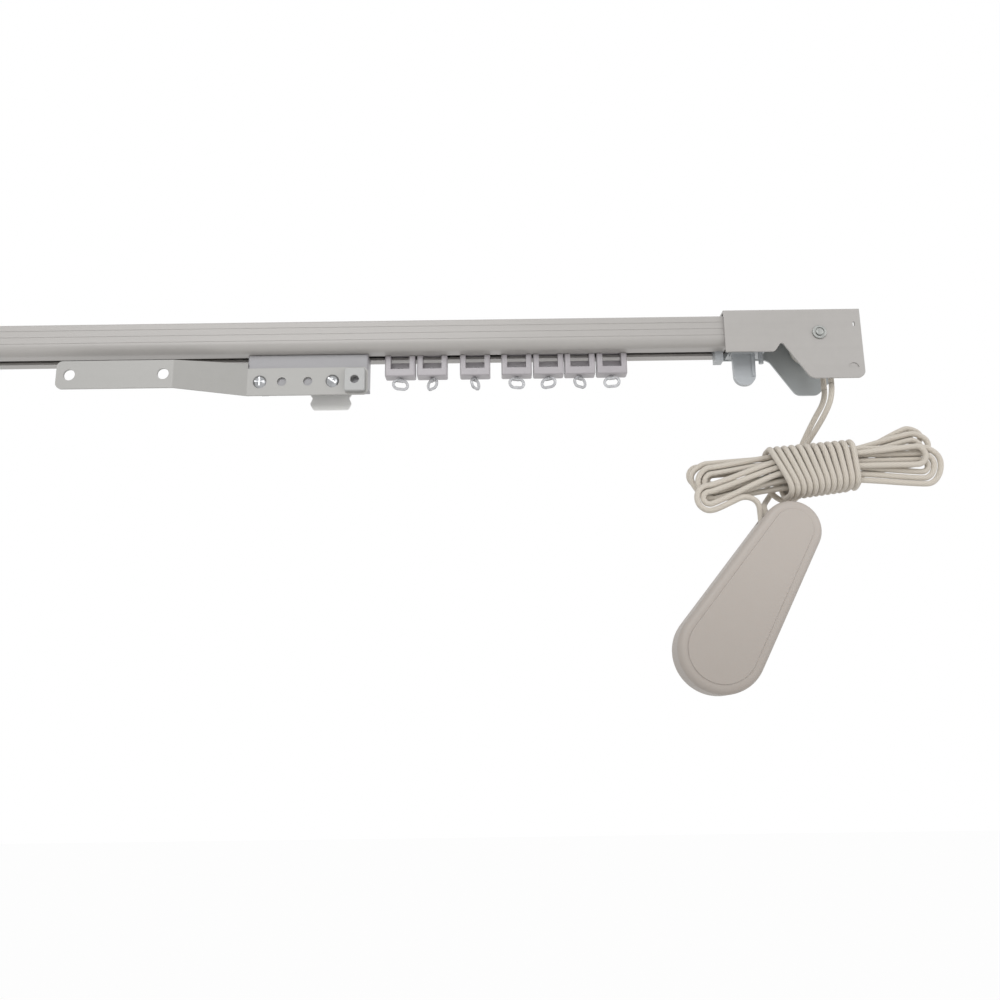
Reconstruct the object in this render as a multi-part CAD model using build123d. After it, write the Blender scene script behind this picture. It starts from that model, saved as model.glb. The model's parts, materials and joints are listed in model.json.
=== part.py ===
# Corded curtain track, 600 mm long: a slotted rail with a cord drive at its right end, a return
# pulley at its left end, a master carrier with an overlap arm, seven gliders with eyes, and the
# spare cord tied in a hank above a cord weight.
# Millimetres. +X runs along the rail to the right, +Y goes back to the wall, +Z is up. The origin
# is in the rail's top face, half way between its two ceiling screws.

from build123d import *
import math
import os

# Rail
rail_length = 500.0
rail_depth = 24.0
rail_height = 15.6
rail_wall = 1.2
rail_slot = 5.5
rail_lip_radius = 4.5
rail_top_radius = 1.0
loading_gap = 17.5
face_groove_heights = [3.6, 7.0, 10.4]
face_groove_width = 0.5
face_groove_depth = 0.15
screw_spacing = 400.0
screw_hole_radius = 2.2

# Clearances
slide_gap = 0.3
turn_gap = 0.05
cord_gap = 0.3
strand_gap = 0.5

# Cord
cord_diameter = 2.8
cord_below_roof = 1.2
cord_run_spacing = 11.0

# End housings, folded from sheet
sheet = 1.2
housing_overlap = 19.0
housing_reach = 68.0
cover_above_rail = 1.2
skirt_depth = 19.8
rear_skirt_depth = 14.6
cord_box_depth = 34.2
cord_box_width = 26.7
cord_box_slope = 13.3
cover_notch = 3.6
slit_from_end = 3.4
slit_top = 4.8
slit_height = 2.2
slit_width = 1.0
dimple_from_end = 5.4
dimple_height = 29.0
dimple_radius = 2.6
dimple_depth = 0.45
rear_corner_height = 18.0
rear_corner_cut = 15.5
cover_corner_radius = 3.5
housing_screw_radius = 1.5
housing_screw_head_radius = 2.9
housing_screw_inset = 7.0
housing_screw_bite = 4.8
housing_screw_head_height = 1.7
cross_length = 3.0
cross_width = 0.7
cross_depth = 0.6

# Drive and return pulleys
drive_pulley_radius = 6.5
drive_axle_inset = 21.0
drive_shank_radius = 2.0
rivet_head_radius = 3.2
rivet_head_height = 1.4
axle_collar_radius = 3.45
axle_collar_height = 0.9
axle_dish_radius = 2.4
axle_dish_depth = 0.5
axle_end_radius = 1.9
axle_end_height = 1.4
pulley_rim = 0.6
drive_pulley_width = 8.2
return_axle_reach = 31.0
return_pulley_width = 5.4
return_shank_radius = 1.8

# End block with the last hook tongue
block_height = 3.4
block_length = 18.0
block_from_rail_end = 14.0
pad_wall = 1.6
tongue_width = 11.6
tongue_thickness = 2.6
tongue_bottom = 33.0
post_radius = 1.2
post_bottom = 22.0

# End stops in the slot
stop_length = 4.0
stop_bottom = 20.4
head_thickness = 1.8
head_width = 13.2

# Master carrier
carrier_from_rail_end = 227.5
carrier_length = 60.4
carrier_bottom = 33.6
carrier_front = 6.3
carrier_rear = 3.4
carrier_head_length = 52.0
carrier_screw_places = [-23.7, 12.6]
carrier_screw_height = 30.2
carrier_screw_radius = 1.6
screw_head_radius = 3.4
screw_head_height = 1.9
nut_width = 6.0
nut_height = 2.2
grip_length = 10.0
grip_width = 6.0
travel = 200.0

# Overlap arm, one strip of sheet
arm_width = 14.2
arm_front = 19.5
arm_tip = 119.5
arm_front_length = 56.8
arm_slant_length = 32.8
arm_shoulder = 2.6
arm_hole_spacing = 45.6
arm_hole_inset = 6.4
arm_hole_radius = 2.8
root_hole_radius = 2.3
root_hole_places = [-12.7, 0.3]
boss_width = 10.4
boss_height = 12.0
boss_thickness = 2.4
boss_place = 24.0
boss_hole_radius = 2.2
lower_tab_place = 10.2
lower_tab_plate = 20.6
lower_tab_neck = 18.4
lower_tab_width = 21.0
lower_tab_bottom = 41.6

# Gliders, each by its distance from the rail's right end when the track is at rest
glider_insets = [181.6, 165.4, 143.7, 122.7, 106.6, 90.7, 74.5]
glider_width = 15.4
glider_depth = 7.2
glider_window = 9.6
glider_window_bottom = 22.8
glider_wall = 1.2
glider_wall_top = 17.5
glider_bottom = 26.6
glider_head_length = 14.6
eye_stem_radius = 1.0
eye_head_radius = 1.9
eye_head_height = 1.1
eye_ring_radius = 2.25
eye_ring_straight = 2.8
eye_wire_radius = 0.75
eye_tab_width = 3.2
eye_tab_thickness = 1.5
eye_turns = [20.0, -50.0, 62.0, 15.0, -28.0, 40.0, -12.0]

# Cord weight, two shells round a steel slug and a roller
weight_x = 257.8
weight_y = -1.5
weight_z = -109.2
weight_tilt = 33.5
weight_length = 67.8
weight_top_radius = 14.1
weight_bottom_radius = 20.9
weight_half_thickness = 10.0
weight_wall = 1.8
weight_rim_radius = 3.4
weight_face_inset = 4.6
weight_face_raise = 0.5
roller_below_top = 20.0
roller_cord_radius = 5.0
roller_width = 6.0
roller_pin_radius = 1.5
mouth_width = 7.4
mouth_front = 2.4
mouth_rear = 4.8
mouth_join_z = -107.5
slug_top = 40.0
slug_half_thickness = 7.2
weight_screw_radius = 1.4
weight_screw_head_radius = 2.6
weight_screw_boss = 3.2
weight_screw_place = 58.0

# Hank of spare cord
hank_x = 273.7
hank_z = -76.3
hank_tilt = 4.9
hank_reach = 64.3
hank_fold_radius = 3.1
hank_layer_loops = [2, 3, 3, 2]
fold_pitch = 3.55
waist_pitch = 3.55
fold_rise_right = [10.0, 5.0, -4.0, -0.8]
fold_rise_left = [1.2, -1.0, -4.0, -10.0]
fold_draw_right = [1.7, 1.5, -0.5, 3.5]
fold_draw_left = [-5.0, 3.5, 2.5, -2.0]
fold_straight = 4.5
waist_half = 20.5
waist_turns = 11
bend_radius = 16.0
wrap_corner_radius = 5.0
wrap_top_start = -21.5
wrap_top_pitch = 3.95
wrap_low_start = -15.4
wrap_sag = 1.5
fall_a_place = -3.2
straight_fall = 7.0
start_u = 31.0
end_u = -44.5

# Values that follow from the sizes above
cord_r = cord_diameter / 2
half_rail = rail_length / 2
half_depth = rail_depth / 2
lip_end = half_rail - loading_gap
lip_top = -(rail_height - rail_wall)
cord_z = -(rail_wall + cord_below_roof + cord_r)
cord_y = cord_run_spacing / 2
plate_inner = half_depth + slide_gap
plate_outer = plate_inner + sheet
housing_start = half_rail - housing_overlap
housing_end = housing_start + housing_reach
roof_inner = cover_above_rail
roof_outer = cover_above_rail + sheet
drive_x = housing_end - drive_axle_inset
box_left = housing_end - cord_box_width
box_shoulder = box_left - cord_box_slope
carrier_x = half_rail - carrier_from_rail_end
drive_z = cord_z - drive_pulley_radius
return_x = -(housing_start + return_axle_reach)
cord_fall_x = drive_x + drive_pulley_radius
cord_exit_z = -cord_box_depth
rail_bottom = -rail_height
strand_pitch = cord_diameter + strand_gap
root_front = carrier_front + sheet
screw_z = -carrier_screw_height
arm_centre_z = screw_z

block_bottom = lip_top - 0.4
block_top = block_bottom + block_height
housing_screw_z = block_top + 2.4
root_half = carrier_length / 2


def block(x0, x1, y0, y1, z0, z1):
    """A box between two corners."""
    return Pos((x0 + x1) / 2, (y0 + y1) / 2, (z0 + z1) / 2) * Box(x1 - x0, y1 - y0, z1 - z0)


def rod_x(radius, x0, x1, y, z):
    return Pos((x0 + x1) / 2, y, z) * Rot(Y=90) * Cylinder(radius, x1 - x0)


def rod_y(radius, y0, y1, x, z):
    return Pos(x, (y0 + y1) / 2, z) * Rot(X=90) * Cylinder(radius, y1 - y0)


def rod_z(radius, z0, z1, x, y):
    return Pos(x, y, (z0 + z1) / 2) * Cylinder(radius, z1 - z0)


def rounded(points, radii):
    """A closed flat outline whose corners have the given radii, 0 for a sharp one."""
    face = make_face(Polyline(*points, close=True))
    for point, radius in zip(points, radii):
        if radius > 0:
            corner = min(face.vertices(), key=lambda v: (v.center() - Vector(*point, 0)).length)
            face = fillet(corner, radius)
    return face


def plate(face, y0, y1):
    """An outline drawn in X and Z, from one depth to another."""
    return extrude(Plane.XZ.offset(-y0) * face, amount=y1 - y0, dir=(0, 1, 0))


def mirrored(solid):
    return mirror(solid, about=Plane.YZ)


def write(name, *solids):
    """One STEP file for a node, which may hold several separate solids."""
    shapes = [s for solid in solids for s in solid.solids()]
    export_step(shapes[0] if len(shapes) == 1 else Compound(children=shapes), f"parts/{name}.step")


# The rail

def rail_section():
    outer = [(-half_depth, 0), (half_depth, 0), (half_depth, rail_bottom), (-half_depth, rail_bottom)]
    inner_y = half_depth - rail_wall
    inner = [(-inner_y, -rail_wall), (inner_y, -rail_wall), (inner_y, lip_top), (-inner_y, lip_top)]
    lip_inner = max(rail_lip_radius - rail_wall, 0.3)
    top_radius = rail_top_radius
    shell = rounded(outer, [top_radius, top_radius, rail_lip_radius, rail_lip_radius])
    shell -= rounded(inner, [0, 0, lip_inner, lip_inner])
    slot = Pos(0, (rail_bottom + lip_top) / 2) * Rectangle(rail_slot, 2 * rail_wall)
    shell -= slot
    for height in face_groove_heights:
        shell -= Pos(-half_depth, -height) * Rectangle(2 * face_groove_depth, face_groove_width)
    return shell


def rail():
    solid = extrude(Plane.YZ.offset(-half_rail) * rail_section(), amount=rail_length)
    for side in (-1, 1):
        solid -= rod_z(screw_hole_radius, -2 * rail_wall, rail_wall, side * screw_spacing / 2, 0)
        outer_end = side * (half_rail + 1)
        x0, x1 = sorted((side * lip_end, outer_end))
        solid -= block(x0, x1, -half_depth - 1, half_depth + 1, rail_bottom - 1, lip_top + block_height)
        hole_x = side * (half_rail - housing_screw_inset)
        solid -= rod_y(housing_screw_radius, 0, half_depth + 1, hole_x, housing_screw_z)
    return solid


# End housings

def cover_outline():
    """Front plate of the cord end: a sleeve over the rail, a notch, and the deep cord box."""
    left, right = housing_start, housing_end
    points = [
        (left, roof_outer),
        (right, roof_outer),
        (right, -cord_box_depth),
        (box_left, -cord_box_depth),
        (box_shoulder, -rear_skirt_depth),
        (box_shoulder - cover_notch, -skirt_depth),
        (left, -skirt_depth),
    ]
    return rounded(points, [0.6, 1.2, cover_corner_radius, 5.0, 1.2, 2.0, 0.6])


def rear_outline():
    left, right = housing_start + 2.0, housing_end
    points = [
        (left, roof_inner),
        (right, roof_inner),
        (right, -rear_corner_height),
        (right - rear_corner_cut, -cord_box_depth),
        (box_left, -cord_box_depth),
        (box_shoulder, -rear_skirt_depth),
        (left, -rear_skirt_depth),
    ]
    return rounded(points, [0, 0, 2.0, 5.0, 5.0, 5.0, 0.6])


def drive_cover():
    solid = plate(cover_outline(), -plate_outer, -plate_inner)
    solid += block(housing_start, housing_end, -plate_outer, plate_outer, roof_inner, roof_outer)
    top_edge = solid.edges().filter_by(Axis.X).sort_by(lambda e: e.center().Y - e.center().Z)[0]
    solid = fillet(top_edge, 0.9)
    solid -= rod_y(drive_shank_radius, -plate_outer - 1, 0, drive_x, drive_z)
    slit_x = housing_end - slit_from_end
    solid -= block(slit_x - slit_width / 2, slit_x + slit_width / 2, -plate_outer - 1, -plate_inner + 0.1,
                   -slit_top - slit_height, -slit_top)
    dimple_x = housing_end - dimple_from_end
    dimple = rod_y(dimple_radius, -plate_outer - 1, -plate_outer + dimple_depth, dimple_x, -dimple_height)
    upper = block(dimple_x - 2 * dimple_radius, dimple_x + 2 * dimple_radius, -plate_outer - 1, 0,
                  -dimple_height, -dimple_height + 2 * dimple_radius)
    return solid - (dimple & upper)


def drive_back_plate():
    solid = plate(rear_outline(), plate_inner, plate_outer)
    solid -= rod_y(drive_shank_radius, 0, plate_outer + 1, drive_x, drive_z)
    hole_x = half_rail - housing_screw_inset
    return solid - rod_y(housing_screw_radius, 0, plate_outer + 1, hole_x, housing_screw_z)


def idler_outline(left, lowest, top):
    points = [(left, top), (housing_end, top), (housing_end, -lowest), (left, -lowest)]
    return rounded(points, [0, 0, cover_corner_radius, 0.6])


def idler_cover():
    face = idler_outline(housing_start, skirt_depth, roof_outer)
    solid = plate(face, -plate_outer, -plate_inner)
    solid += block(housing_start, housing_end, -plate_outer, plate_outer, roof_inner, roof_outer)
    top_edge = solid.edges().filter_by(Axis.X).sort_by(lambda e: e.center().Y - e.center().Z)[0]
    solid = mirrored(fillet(top_edge, 0.9))
    return solid - rod_z(return_shank_radius, -1, roof_outer + 1, return_x, 0)


def idler_back_plate():
    face = idler_outline(housing_start + 2.0, rear_skirt_depth, roof_inner)
    solid = plate(face, plate_inner, plate_outer)
    hole_x = half_rail - housing_screw_inset
    solid -= rod_y(housing_screw_radius, 0, plate_outer + 1, hole_x, housing_screw_z)
    return mirrored(solid)


# Pulleys and their rivets

def pulley(cord_radius, width, bore):
    """A grooved wheel about Z, with its groove at half its width."""
    groove = cord_r + cord_gap
    rim = cord_radius + cord_r + pulley_rim
    mouth = groove + 0.5
    half = width / 2
    lower = Line((rim, -mouth), (cord_radius, -groove))
    arc = ThreePointArc((cord_radius, -groove), (cord_radius - groove, 0), (cord_radius, groove))
    upper = Line((cord_radius, groove), (rim, mouth))
    rest = Polyline((rim, mouth), (rim, half), (bore, half), (bore, -half), (rim, -half), (rim, -mouth))
    section = make_face([lower, arc, upper, rest])
    return revolve(Plane.XZ * section, axis=Axis.Z)


def drive_pulley(side):
    wheel = Rot(X=90) * pulley(drive_pulley_radius, drive_pulley_width, drive_shank_radius + turn_gap)
    return Pos(drive_x, side * cord_y, drive_z) * wheel


def rivet_head(radius, height):
    """A low domed head that stands on the XY plane."""
    dome = (radius ** 2 + height ** 2) / (2 * height)
    ball = Pos(0, 0, height - dome) * Rot(X=90) * Sphere(dome)
    return ball & Pos(0, 0, height / 2 + 0.001) * Cylinder(radius, height)


def axle_head():
    """A flat collar on the XY plane, dished round the shank's raised end."""
    collar = Pos(0, 0, axle_collar_height / 2) * Cylinder(axle_collar_radius, axle_collar_height)
    collar = fillet(collar.edges().sort_by(Axis.Z)[-1], 0.3)
    floor = axle_collar_height - axle_dish_depth
    collar -= Pos(0, 0, floor + 1) * Cylinder(axle_dish_radius, 2)
    end = Pos(0, 0, axle_end_height / 2) * Cylinder(axle_end_radius, axle_end_height)
    return collar + fillet(end.edges().sort_by(Axis.Z)[-1], 0.5)


def drive_axle():
    shank = rod_y(drive_shank_radius, -plate_outer - 0.2, plate_outer + 0.2, drive_x, drive_z)
    head = axle_head()
    front = Pos(drive_x, -plate_outer, drive_z) * Rot(X=90) * head
    rear = Pos(drive_x, plate_outer, drive_z) * Rot(X=-90) * head
    return shank + front + rear


def pulley_washers():
    inner = cord_y - drive_pulley_width / 2 - 0.1
    outer = cord_y + drive_pulley_width / 2 + 0.1
    spans = [(-plate_inner, -outer), (-inner, inner), (outer, plate_inner)]
    washers = []
    for y0, y1 in spans:
        ring = rod_y(drive_shank_radius + 1.8, y0, y1, drive_x, drive_z)
        washers.append(ring - rod_y(drive_shank_radius + 0.02, y0 - 1, y1 + 1, drive_x, drive_z))
    return washers


def idler_pulley():
    wheel = pulley(cord_y, return_pulley_width, return_shank_radius + turn_gap)
    return Pos(return_x, 0, cord_z) * wheel


def idler_axle():
    top = roof_outer
    low = cord_z - return_pulley_width / 2 - 0.1
    spacer_low = cord_z + return_pulley_width / 2 + 0.1
    solid = rod_z(return_shank_radius, low - 0.2, top + 0.2, return_x, 0)
    solid += rod_z(return_shank_radius + 1.4, spacer_low, roof_inner, return_x, 0)
    solid += Pos(return_x, 0, top) * rivet_head(rivet_head_radius, rivet_head_height)
    return solid + Pos(return_x, 0, low) * Rot(X=180) * rivet_head(rivet_head_radius, 1.2)


# Blocks that the housing screws bite into

def end_block():
    x0 = half_rail - block_from_rail_end
    wide = half_depth - rail_wall - slide_gap
    solid = block(x0, x0 + block_length, -wide, wide, block_bottom, block_top)
    x_screw = half_rail - housing_screw_inset
    pad = housing_screw_radius + pad_wall
    solid += block(x_screw - pad, x_screw + pad, wide - housing_screw_bite - pad_wall, wide,
                   block_top - 0.5, housing_screw_z + pad)
    return solid - rod_y(housing_screw_radius, wide - housing_screw_bite - slide_gap, wide + 1, x_screw,
                         housing_screw_z)


def end_hook_tab():
    """The end block with the tongue that holds the curtain's last hook."""
    solid = end_block()
    x_tongue = half_rail - block_from_rail_end + block_length / 2 - 2.2
    half = tongue_width / 2
    points = [
        (x_tongue - half, block_bottom + 0.5),
        (x_tongue + half, block_bottom + 0.5),
        (x_tongue + half - 0.4, -tongue_bottom),
        (x_tongue - half + 0.4, -tongue_bottom),
    ]
    tongue = plate(rounded(points, [0, 0, half - 0.6, half - 0.6]), -tongue_thickness / 2,
                   tongue_thickness / 2)
    rib = block(x_tongue + half - 2.2, x_tongue + half - 1.0, -tongue_thickness / 2 - 0.7, 0,
                -tongue_bottom + 4.5, block_bottom + 0.5)
    shoulder = block(x_tongue - half - 0.6, x_tongue + half + 0.6, -3.2, 3.2,
                     block_bottom - 1.6, block_bottom + 0.5)
    post = rod_z(post_radius, -post_bottom, block_bottom + 0.5, x_tongue + half + 2.6, -2.0)
    return solid + (tongue + rib + shoulder) + post


def housing_screw(side):
    """A pan-head screw through the back plate and the rail into the end block."""
    x = side * (half_rail - housing_screw_inset)
    tip = half_depth - rail_wall - slide_gap - housing_screw_bite
    height = housing_screw_head_height
    shank = rod_y(housing_screw_radius, tip, plate_outer + height / 2, x, housing_screw_z)
    head = Rot(X=-90) * rivet_head(housing_screw_head_radius, height)
    cross = Box(cross_length, 2 * cross_depth, cross_width) + Box(cross_width, 2 * cross_depth, cross_length)
    solid = shank + Pos(x, plate_outer, housing_screw_z) * head
    return solid - Pos(x, plate_outer + height, housing_screw_z) * cross


def end_stop(side):
    """A stop that sits on the lips at the end of the slot, so that no glider leaves it."""
    x0, x1 = sorted((side * (lip_end - 0.5), side * (lip_end - 0.5 - stop_length)))
    half_head = head_width / 2
    neck = rail_slot / 2 - slide_gap
    solid = block(x0, x1, -half_head, half_head, lip_top, lip_top + head_thickness)
    solid += block(x0, x1, -neck, neck, rail_bottom - 0.2, lip_top + 0.2)
    return solid + block(x0, x1, -3.4, 3.4, -stop_bottom, rail_bottom)


# Master carrier

def carrier_block():
    """The moulded runner: a head on the lips, a neck in the slot and a body below the rail."""
    x0, x1 = carrier_x - root_half, carrier_x + root_half
    body = block(x0, x1, -carrier_front, carrier_rear, -carrier_bottom, rail_bottom - slide_gap)
    vertical = body.edges().filter_by(Axis.Z)
    body = fillet(vertical, 0.8)
    half_head = carrier_head_length / 2
    low = lip_top + slide_gap
    neck = rail_slot / 2 - slide_gap
    body += block(carrier_x - half_head + 3, carrier_x + half_head - 3, -neck, neck,
                  rail_bottom - slide_gap - 0.2, low + 0.2)
    body += block(carrier_x - half_head, carrier_x + half_head, -head_width / 2, head_width / 2,
                  low, low + head_thickness + 0.8)
    for place in carrier_screw_places:
        x = carrier_x + place
        body -= rod_y(carrier_screw_radius, -carrier_front - 1, carrier_rear + 1, x, screw_z)
    return body


def cord_grip():
    """A clip that stands on the carrier's head and closes round the front run of the cord."""
    low = lip_top + slide_gap + head_thickness + 0.8
    top = cord_z + cord_r + cord_gap + 0.5
    x0, x1 = carrier_x - grip_length / 2, carrier_x + grip_length / 2
    y0, y1 = -cord_y - grip_width / 2, -cord_y + grip_width / 2
    solid = block(x0, x1, y0 + 1.2, y1, low, cord_z - cord_r)
    solid += block(x0, x1, y0, y1, cord_z - cord_r - 1.0, top)
    solid = fillet(solid.edges().filter_by(Axis.X).sort_by(Axis.Z)[-2:], 0.6)
    return solid - rod_x(cord_r + cord_gap, x0 - 1, x1 + 1, -cord_y, cord_z)


def overlap_arm():
    """One bent strip: root on the carrier, slant that widens towards it, leaf with two hook holes."""
    tip = carrier_x - arm_tip
    bend = tip + arm_front_length
    root = bend + arm_slant_length
    end = carrier_x + root_half
    back = -carrier_front
    line = [(tip, -arm_front), (bend, -arm_front), (root, back), (end, back)]
    front = [(end, back - sheet), (root, back - sheet), (bend, -arm_front - sheet), (tip, -arm_front - sheet)]
    profile = make_face(Polyline(*line, *front, close=True))
    for x, y in (line[1], line[2], front[1], front[2]):
        corner = min(profile.vertices(), key=lambda v: (v.center() - Vector(x, y, 0)).length)
        profile = fillet(corner, 2.5 if (x, y) in (line[2], front[2]) else 1.5)
    z0 = arm_centre_z - arm_width / 2
    top = z0 + arm_width
    shoulder = Polyline((bend, top - 1), (bend, top), (root, top + arm_shoulder), (root, top - 1), close=True)
    shoulder = plate(make_face(shoulder), -arm_front - sheet - 1, back)
    shoulder &= extrude(Plane.XY.offset(z0) * profile, amount=arm_width + arm_shoulder)
    strip = extrude(Plane.XY.offset(z0) * profile, amount=arm_width)
    corners = strip.edges().filter_by(Axis.Y).sort_by(Axis.X)[:2]
    strip = fillet(corners, 3.0)
    corners = strip.edges().filter_by(Axis.Y).sort_by(Axis.X)[-2:]
    strip = chamfer(corners, 1.6) + shoulder
    for x in (tip + arm_hole_inset, tip + arm_hole_inset + arm_hole_spacing):
        strip -= rod_y(arm_hole_radius, -arm_front - 3, -arm_front + 2, x, arm_centre_z)
    for place in root_hole_places:
        strip -= rod_y(root_hole_radius, -root_front - 1, back + 0.01, carrier_x + place, screw_z)
    for place in carrier_screw_places:
        x = carrier_x + place
        strip -= rod_y(carrier_screw_radius, -root_front - 1, back + 0.01, x, screw_z)
    strip -= rod_y(boss_hole_radius, -root_front - 1, back + 0.01, carrier_x + boss_place, screw_z)
    return strip


def carrier_boss():
    """A square moulded boss with a hook hole, riveted on the end of the strip."""
    x = carrier_x + boss_place
    solid = block(x - boss_width / 2, x + boss_width / 2, -root_front - boss_thickness, -root_front,
                  screw_z - boss_height / 2, screw_z + boss_height / 2)
    solid = fillet(solid.edges().filter_by(Axis.Y), 1.2)
    solid = fillet(solid.faces().sort_by(Axis.Y)[0].edges(), 0.5)
    return solid - rod_y(boss_hole_radius, -root_front - boss_thickness - 1, 0, x, screw_z)


def lower_tab():
    """A hook plate behind the carrier, with its wide tab below it."""
    x = carrier_x + lower_tab_place
    y0 = carrier_rear
    wide = lower_tab_plate / 2
    neck = lower_tab_neck / 2
    half = lower_tab_width / 2
    outline = [
        (wide, screw_z + 5.0, 1.0),
        (wide, -carrier_bottom - 0.4, 0.5),
        (neck, -carrier_bottom - 1.8, 0.6),
        (half, -carrier_bottom - 4.9, 1.2),
        (half - 1.6, -lower_tab_bottom, 1.6),
    ]
    points = [(x + u, z) for u, z, _ in outline] + [(x - u, z) for u, z, _ in reversed(outline)]
    radii = [r for _, _, r in outline] + [r for _, _, r in reversed(outline)]
    solid = plate(rounded(points, radii), y0, y0 + sheet)
    screw_x = carrier_x + carrier_screw_places[1]
    return solid - rod_y(carrier_screw_radius, y0 - 1, y0 + sheet + 1, screw_x, screw_z)


def carrier_screws():
    """Two pan-head screws, the left with a cross recess and the right with a slot."""
    screws = []
    for number, place in enumerate(carrier_screw_places):
        x = carrier_x + place
        back = carrier_rear + nut_height + (sheet if number == 1 else 0) + 0.6
        solid = rod_y(carrier_screw_radius, -root_front - 0.2, back, x, screw_z)
        head = Rot(X=90) * rivet_head(screw_head_radius, screw_head_height)
        solid += Pos(x, -root_front, screw_z) * head
        slot = Box(4.6, 1.6, 0.8)
        cross = Box(0.8, 1.6, 4.6)
        recess = slot + cross if number == 0 else Rot(Y=35) * Box(9, 1.6, 0.9)
        screws.append(solid - Pos(x, -root_front - screw_head_height, screw_z) * recess)
    return screws


def carrier_nuts():
    nuts = []
    for number, place in enumerate(carrier_screw_places):
        x = carrier_x + place
        y0 = carrier_rear + (sheet if number == 1 else 0)
        hexagon = RegularPolygon(nut_width / 2, 6, major_radius=False)
        nut = plate(Pos(x, screw_z) * hexagon, y0, y0 + nut_height)
        nuts.append(nut - rod_y(carrier_screw_radius, y0 - 1, y0 + nut_height + 1, x, screw_z))
    return nuts


# Gliders

def glider(x):
    """A head on the lips, two legs down through the slot, a bar below and a low rear wall."""
    half = glider_width / 2
    half_window = glider_window / 2
    top = rail_bottom - slide_gap
    solid = block(x - half, x + half, -glider_depth / 2, glider_depth / 2, -glider_bottom, top)
    solid = fillet(solid.edges().filter_by(Axis.Z), 1.0)
    solid = fillet(solid.faces().sort_by(Axis.Z)[0].edges(), 0.7)
    solid -= block(x - half_window, x + half_window, -glider_depth, glider_depth,
                   -glider_window_bottom, top + 1)
    rear = glider_depth / 2
    solid += block(x - half_window - 0.2, x + half_window + 0.2, rear - glider_wall, rear,
                   -glider_window_bottom - 0.2, -glider_wall_top)
    low = lip_top + slide_gap
    neck = rail_slot / 2 - slide_gap
    for side in (-1, 1):
        x0, x1 = sorted((x + side * half_window, x + side * (half - 0.6)))
        solid += block(x0, x1, -neck, neck, top - 0.2, low + 0.2)
    half_head = glider_head_length / 2
    head = block(x - half_head, x + half_head, -head_width / 2, head_width / 2, low, low + head_thickness)
    solid += fillet(head.edges().filter_by(Axis.Z), 1.5)
    bore = eye_stem_radius + turn_gap
    return solid - rod_z(bore, -glider_bottom - 1, -glider_window_bottom + 1, x, 0)


def eye_ring():
    """A long ring in the XZ plane: two half rounds joined by two straight bits."""
    reach = eye_ring_straight / 2
    size = 2 * (eye_ring_radius + eye_wire_radius) + 1
    round_ring = Rot(X=90) * Torus(eye_ring_radius, eye_wire_radius)
    ring = None
    for side in (-1, 1):
        end = Pos(side * reach, 0, 0) * (round_ring & Pos(side * size / 2, 0, 0) * Box(size, size, size))
        bar = rod_x(eye_wire_radius, -reach, reach, 0, side * eye_ring_radius)
        ring = end + bar if ring is None else ring + end + bar
    return ring


def glider_eye(x, turn):
    """A swivel eye: head in the window, stem through the bar, flat tab and long ring below."""
    stem_top = -glider_window_bottom + 0.1
    ring_z = -glider_bottom - slide_gap - eye_ring_radius - eye_wire_radius - 0.2
    stem = Pos(0, 0, (stem_top + ring_z + eye_ring_radius) / 2) * Cylinder(
        eye_stem_radius, stem_top - ring_z - eye_ring_radius)
    head = Pos(0, 0, stem_top + eye_head_height / 2) * Cylinder(eye_head_radius, eye_head_height)
    head = fillet(head.edges().sort_by(Axis.Z)[-1], 0.4)
    tab_top = -glider_bottom - slide_gap
    tab_low = ring_z + eye_ring_radius - eye_wire_radius
    tab = block(-eye_tab_width / 2, eye_tab_width / 2, -eye_tab_thickness / 2, eye_tab_thickness / 2,
                tab_low, tab_top)
    return Pos(x, 0, 0) * Rot(Z=turn) * (stem + head + tab + Pos(0, 0, ring_z) * eye_ring())


# Cord weight. Its own frame has x across it, y up its length and z towards the viewer.

tilt = math.radians(weight_tilt)
weight_plane = Plane(
    origin=(weight_x, weight_y, weight_z),
    x_dir=(math.cos(tilt), 0, -math.sin(tilt)),
    z_dir=(0, -1, 0),
)


def teardrop(length, top_radius, bottom_radius, lower=0.0):
    """A tapered capsule: two arcs and the two lines that touch both."""
    lean = math.asin((bottom_radius - top_radius) / length)
    c, s = math.cos(lean), math.sin(lean)
    top_y, bottom_y = -lower, -lower - length
    a = (-top_radius * c, top_y + top_radius * s)
    b = (top_radius * c, top_y + top_radius * s)
    d = (bottom_radius * c, bottom_y + bottom_radius * s)
    e = (-bottom_radius * c, bottom_y + bottom_radius * s)
    return make_face([
        ThreePointArc(a, (0, top_y + top_radius), b),
        Line(b, d),
        ThreePointArc(d, (0, bottom_y - bottom_radius), e),
        Line(e, a),
    ])


def mouth():
    """The slot in the shells' upper left rim that both falls of the cord go down through."""
    x, z = roller_centre()
    return block(x - mouth_width / 2, x + mouth_width / 2, weight_y - mouth_front,
                 weight_y + mouth_rear, mouth_join_z - 7.0, weight_z + weight_top_radius + 2)


def roller_centre():
    return (weight_x - roller_below_top * math.sin(tilt), weight_z - roller_below_top * math.cos(tilt))


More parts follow.
